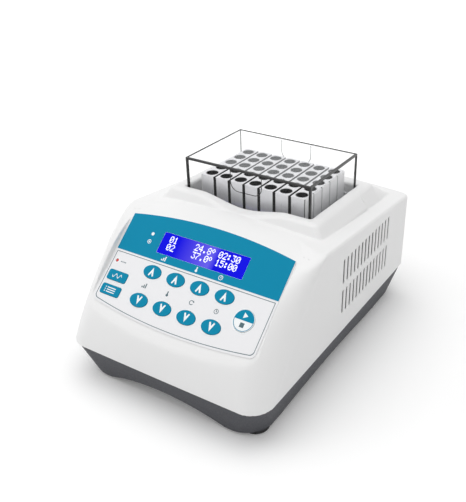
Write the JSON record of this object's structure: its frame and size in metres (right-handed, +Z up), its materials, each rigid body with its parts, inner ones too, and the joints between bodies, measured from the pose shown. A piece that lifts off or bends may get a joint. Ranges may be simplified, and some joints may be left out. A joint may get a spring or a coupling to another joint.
{
  "type": "thermal mixer",
  "caption": "Bench thermal mixer: a slotted aluminium tube block shakes under a clear lift-off lid, in a white housing with a sloping keypad on a dark base tray.",
  "frame": {"origin": "centre of the footprint, on the surface that the feet stand on", "axes": "+Z up, the keypad faces -Y, +X to the right of someone facing the keypad"},
  "size_m": [0.1986, 0.2813, 0.1627],
  "materials": {
    "white_shell": "fine moulded texture",
    "dark_tray": "fine moulded texture",
    "foot_rubber": "matte",
    "screw_steel": "zinc plated",
    "liner_black": "matte",
    "overlay_film": "printed film",
    "display_window": "clear, lit from behind",
    "display_screen": "lit",
    "lamp_lens": "tinted",
    "circuit_board": "lacquered",
    "switch_plastic": "moulded",
    "ground_steel": "ground",
    "cast_parts": "milled",
    "bronze": "turned",
    "motor_case": "satin",
    "iron_core": "lacquered",
    "capacitor_sleeve": "sleeve",
    "machined_aluminium": "milled",
    "black_plastic": "moulded",
    "plated_pins": "nickel plated",
    "rocker_plastic": "polished",
    "pad_foam": "silicone sponge",
    "block_aluminium": "bead blasted, clear anodised",
    "clear_acrylic": "clear acrylic",
    "key_print": "printed film",
    "start_stop_print": "printed film"
  },
  "bodies": {
    "housing": {"base_tray": "dark_tray", "rubber_feet": "foot_rubber", "foot_screws": "screw_steel", "upper_housing": "white_shell", "housing_screws": "screw_steel", "chamber_liner": "liner_black", "liner_screws": "screw_steel", "membrane_overlay": "overlay_film", "display_glass": "display_window", "display_module": "display_screen", "status_lamp": "lamp_lens", "control_board": "circuit_board", "board_screws": "screw_steel", "key_switches": "switch_plastic", "fixed_rods": "ground_steel", "rod_bridges": "cast_parts", "motor": "motor_case", "motor_screws": "screw_steel", "power_board": "circuit_board", "power_transformer": "iron_core", "power_capacitors": "capacitor_sleeve", "heat_sink": "machined_aluminium", "power_inlet": "black_plastic", "inlet_pins": "plated_pins", "switch_body": "black_plastic", "fan_frame": "black_plastic", "rear_screws": "screw_steel"},
    "lid": {"clear_lid": "clear_acrylic"},
    "carriage": {"cross_carriage": "cast_parts", "cross_rods": "ground_steel"},
    "shaker": {"platform": "cast_parts", "platform_screws": "screw_steel", "crank_bushing": "bronze", "insulating_pad": "pad_foam", "heater_plate": "machined_aluminium", "temperature_sensor": "plated_pins", "well_block": "block_aluminium", "block_screws": "screw_steel"},
    "crank": {"crank_shaft": "ground_steel", "counterweight": "bronze"},
    "fan": {"fan_rotor": "black_plastic"},
    "rocker": {"power_rocker": "rocker_plastic"},
    "arrow_up_1_button": {"arrow_up_key_1": "key_print"},
    "arrow_up_2_button": {"arrow_up_key_2": "key_print"},
    "arrow_up_3_button": {"arrow_up_key_3": "key_print"},
    "arrow_up_4_button": {"arrow_up_key_4": "key_print"},
    "arrow_down_1_button": {"arrow_down_key_1": "key_print"},
    "arrow_down_2_button": {"arrow_down_key_2": "key_print"},
    "arrow_down_3_button": {"arrow_down_key_3": "key_print"},
    "arrow_down_4_button": {"arrow_down_key_4": "key_print"},
    "mix_button": {"mix_key": "key_print"},
    "program_button": {"program_key": "key_print"},
    "start_stop_button": {"start_stop_key": "start_stop_print"}
  },
  "joints": [
    {"name": "lid_lift", "type": "slide", "parent": "housing", "child": "lid", "axis": [0, 0, 1], "range_m": [0, 0.06]},
    {"name": "carriage_slide", "type": "slide", "parent": "housing", "child": "carriage", "axis": [1, 0, 0], "range_m": [-0.0015, 0.0015]},
    {"name": "platform_slide", "type": "slide", "parent": "carriage", "child": "shaker", "axis": [0, 1, 0], "range_m": [-0.0015, 0.0015]},
    {"name": "crank_spin", "type": "hinge", "parent": "housing", "child": "crank", "pos_m": [0, 0.043, 0.05], "axis": [0, 0, 1], "continuous": true},
    {"name": "fan_spin", "type": "hinge", "parent": "housing", "child": "fan", "pos_m": [-0.038, 0.129, 0.066], "axis": [0, 1, 0], "continuous": true},
    {"name": "rocker_tilt", "type": "hinge", "parent": "housing", "child": "rocker", "pos_m": [0.058, 0.137, 0.086], "axis": [0, 0, 1], "range_deg": [-16, 0]},
    {"name": "arrow_up_1_press", "type": "slide", "parent": "housing", "child": "arrow_up_1_button", "axis": [0, 0.6521, -0.7581], "range_m": [0, 0.0005], "stiffness_N_per_m": 800, "springref_m": -0.0005},
    {"name": "arrow_up_2_press", "type": "slide", "parent": "housing", "child": "arrow_up_2_button", "axis": [0, 0.6521, -0.7581], "range_m": [0, 0.0005], "stiffness_N_per_m": 800, "springref_m": -0.0005},
    {"name": "arrow_up_3_press", "type": "slide", "parent": "housing", "child": "arrow_up_3_button", "axis": [0, 0.6521, -0.7581], "range_m": [0, 0.0005], "stiffness_N_per_m": 800, "springref_m": -0.0005},
    {"name": "arrow_up_4_press", "type": "slide", "parent": "housing", "child": "arrow_up_4_button", "axis": [0, 0.6521, -0.7581], "range_m": [0, 0.0005], "stiffness_N_per_m": 800, "springref_m": -0.0005},
    {"name": "arrow_down_1_press", "type": "slide", "parent": "housing", "child": "arrow_down_1_button", "axis": [0, 0.6521, -0.7581], "range_m": [0, 0.0005], "stiffness_N_per_m": 800, "springref_m": -0.0005},
    {"name": "arrow_down_2_press", "type": "slide", "parent": "housing", "child": "arrow_down_2_button", "axis": [0, 0.6521, -0.7581], "range_m": [0, 0.0005], "stiffness_N_per_m": 800, "springref_m": -0.0005},
    {"name": "arrow_down_3_press", "type": "slide", "parent": "housing", "child": "arrow_down_3_button", "axis": [0, 0.6521, -0.7581], "range_m": [0, 0.0005], "stiffness_N_per_m": 800, "springref_m": -0.0005},
    {"name": "arrow_down_4_press", "type": "slide", "parent": "housing", "child": "arrow_down_4_button", "axis": [0, 0.6521, -0.7581], "range_m": [0, 0.0005], "stiffness_N_per_m": 800, "springref_m": -0.0005},
    {"name": "mix_press", "type": "slide", "parent": "housing", "child": "mix_button", "axis": [0, 0.6521, -0.7581], "range_m": [0, 0.0005], "stiffness_N_per_m": 800, "springref_m": -0.0005},
    {"name": "program_press", "type": "slide", "parent": "housing", "child": "program_button", "axis": [0, 0.6521, -0.7581], "range_m": [0, 0.0005], "stiffness_N_per_m": 800, "springref_m": -0.0005},
    {"name": "start_stop_press", "type": "slide", "parent": "housing", "child": "start_stop_button", "axis": [0, 0.6521, -0.7581], "range_m": [0, 0.0005], "stiffness_N_per_m": 800, "springref_m": -0.0005}
  ]
}
